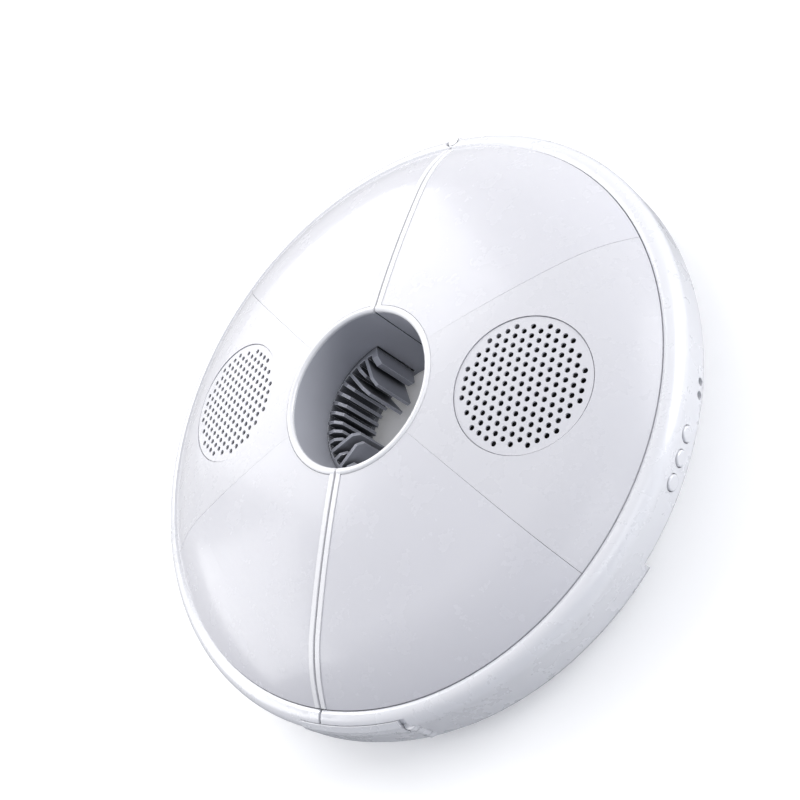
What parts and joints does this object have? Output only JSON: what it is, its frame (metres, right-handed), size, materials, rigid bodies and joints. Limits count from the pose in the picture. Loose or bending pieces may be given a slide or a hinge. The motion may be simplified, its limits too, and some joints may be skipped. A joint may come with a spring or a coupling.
{
  "type": "umbrella light",
  "caption": "Round clamp-on light with two domed halves, perforated speaker fields, sprung finned jaws in a central pole hole, a hinge and a snap lever.",
  "frame": {"origin": "centre of the pole hole in the plane under the rubber feet", "axes": "+Z along the pole hole towards the lamp face; +X towards the fixed half's speaker; +Y towards the hinge"},
  "size_m": [0.2405, 0.2415, 0.0494],
  "materials": {
    "cover_gloss": "polished white moulding with a faint lavender tint",
    "lens": "polished milky diffuser",
    "white_trim": "polished bright white moulding",
    "rim_silver": "polished light silver-white moulding",
    "grey_plastic": "fine satin mid-grey moulding",
    "black_plastic": "matt black moulding",
    "cone": "matt dark diaphragm",
    "magnet": "plated steel",
    "screw": "plated steel",
    "board": "white coated circuit board",
    "led": "yellow phosphor cap",
    "cell": "blue shrink sleeve",
    "rubber": "grey rubber",
    "button": "polished light silver-white moulding"
  },
  "bodies": {
    "right_half": {"right_trim_frame": "white_trim", "right_speaker_panel": "cover_gloss", "right_upper_lens": "lens", "right_lower_lens": "lens", "right_speaker_grille": "cover_gloss", "right_speaker_frame": "black_plastic", "right_speaker_cone": "cone", "right_speaker_magnet": "magnet", "right_speaker_screws": "screw", "right_bore_collar": "grey_plastic", "right_jaw_guide": "grey_plastic", "right_jaw_springs": "screw", "right_upper_lamp_board": "board", "right_lower_lamp_board": "board", "right_leds": "led", "right_lamp_screws": "screw", "right_battery_cell": "cell", "right_battery_holder": "black_plastic", "right_battery_contacts": "screw", "right_cover_screws": "screw", "right_shell_screws": "screw", "right_feet": "rubber", "right_battery_cover": "rim_silver", "right_rear_shell": "rim_silver", "hinge_pin": "screw", "latch_pin": "screw", "latch_spring": "screw", "control_board": "board", "button_switches": "black_plastic", "port_block": "black_plastic"},
    "left_half": {"left_trim_frame": "white_trim", "left_speaker_panel": "cover_gloss", "left_upper_lens": "lens", "left_lower_lens": "lens", "left_speaker_grille": "cover_gloss", "left_speaker_frame": "black_plastic", "left_speaker_cone": "cone", "left_speaker_magnet": "magnet", "left_speaker_screws": "screw", "left_bore_collar": "grey_plastic", "left_jaw_guide": "grey_plastic", "left_jaw_springs": "screw", "left_upper_lamp_board": "board", "left_lower_lamp_board": "board", "left_leds": "led", "left_lamp_screws": "screw", "left_battery_cell": "cell", "left_battery_holder": "black_plastic", "left_battery_contacts": "screw", "left_cover_screws": "screw", "left_shell_screws": "screw", "left_feet": "rubber", "left_battery_cover": "rim_silver", "left_rear_shell": "rim_silver"},
    "right_jaw": {"right_clamp_jaw": "grey_plastic"},
    "left_jaw": {"left_clamp_jaw": "grey_plastic"},
    "latch": {"latch_lever": "rim_silver"},
    "light_key": {"light_button": "button"},
    "volume_up_key": {"volume_up_button": "button"},
    "volume_down_key": {"volume_down_button": "button"}
  },
  "joints": [
    {"name": "half_swing", "type": "hinge", "parent": "right_half", "child": "left_half", "pos_m": [0, 0.118, 0.018], "axis": [0, 0, -1], "range_deg": [0, 90]},
    {"name": "latch_turn", "type": "hinge", "parent": "right_half", "child": "latch", "pos_m": [0.03659, -0.11261, 0.02], "axis": [0, 0, 1], "range_deg": [0, 75], "stiffness_Nm_per_rad": 0.01, "springref_deg": -22.92},
    {"name": "right_jaw_slide", "type": "slide", "parent": "right_half", "child": "right_jaw", "axis": [1, 0, 0], "range_m": [0, 0.007], "stiffness_N_per_m": 4000, "springref_m": -0.002, "deforming": ["right_jaw_springs"]},
    {"name": "left_jaw_slide", "type": "slide", "parent": "left_half", "child": "left_jaw", "axis": [-1, 0, 0], "range_m": [0, 0.007], "stiffness_N_per_m": 4000, "springref_m": -0.002, "deforming": ["left_jaw_springs"]},
    {"name": "light_press", "type": "slide", "parent": "right_half", "child": "light_key", "axis": [-0.9968, 0.0802, 0], "range_m": [0, 0.0005], "stiffness_N_per_m": 800, "springref_m": -0.0005},
    {"name": "volume_up_press", "type": "slide", "parent": "right_half", "child": "volume_up_key", "axis": [-0.9888, 0.1495, 0], "range_m": [0, 0.0005], "stiffness_N_per_m": 800, "springref_m": -0.0005},
    {"name": "volume_down_press", "type": "slide", "parent": "right_half", "child": "volume_down_key", "axis": [-0.9759, 0.2181, 0], "range_m": [0, 0.0005], "stiffness_N_per_m": 800, "springref_m": -0.0005}
  ]
}
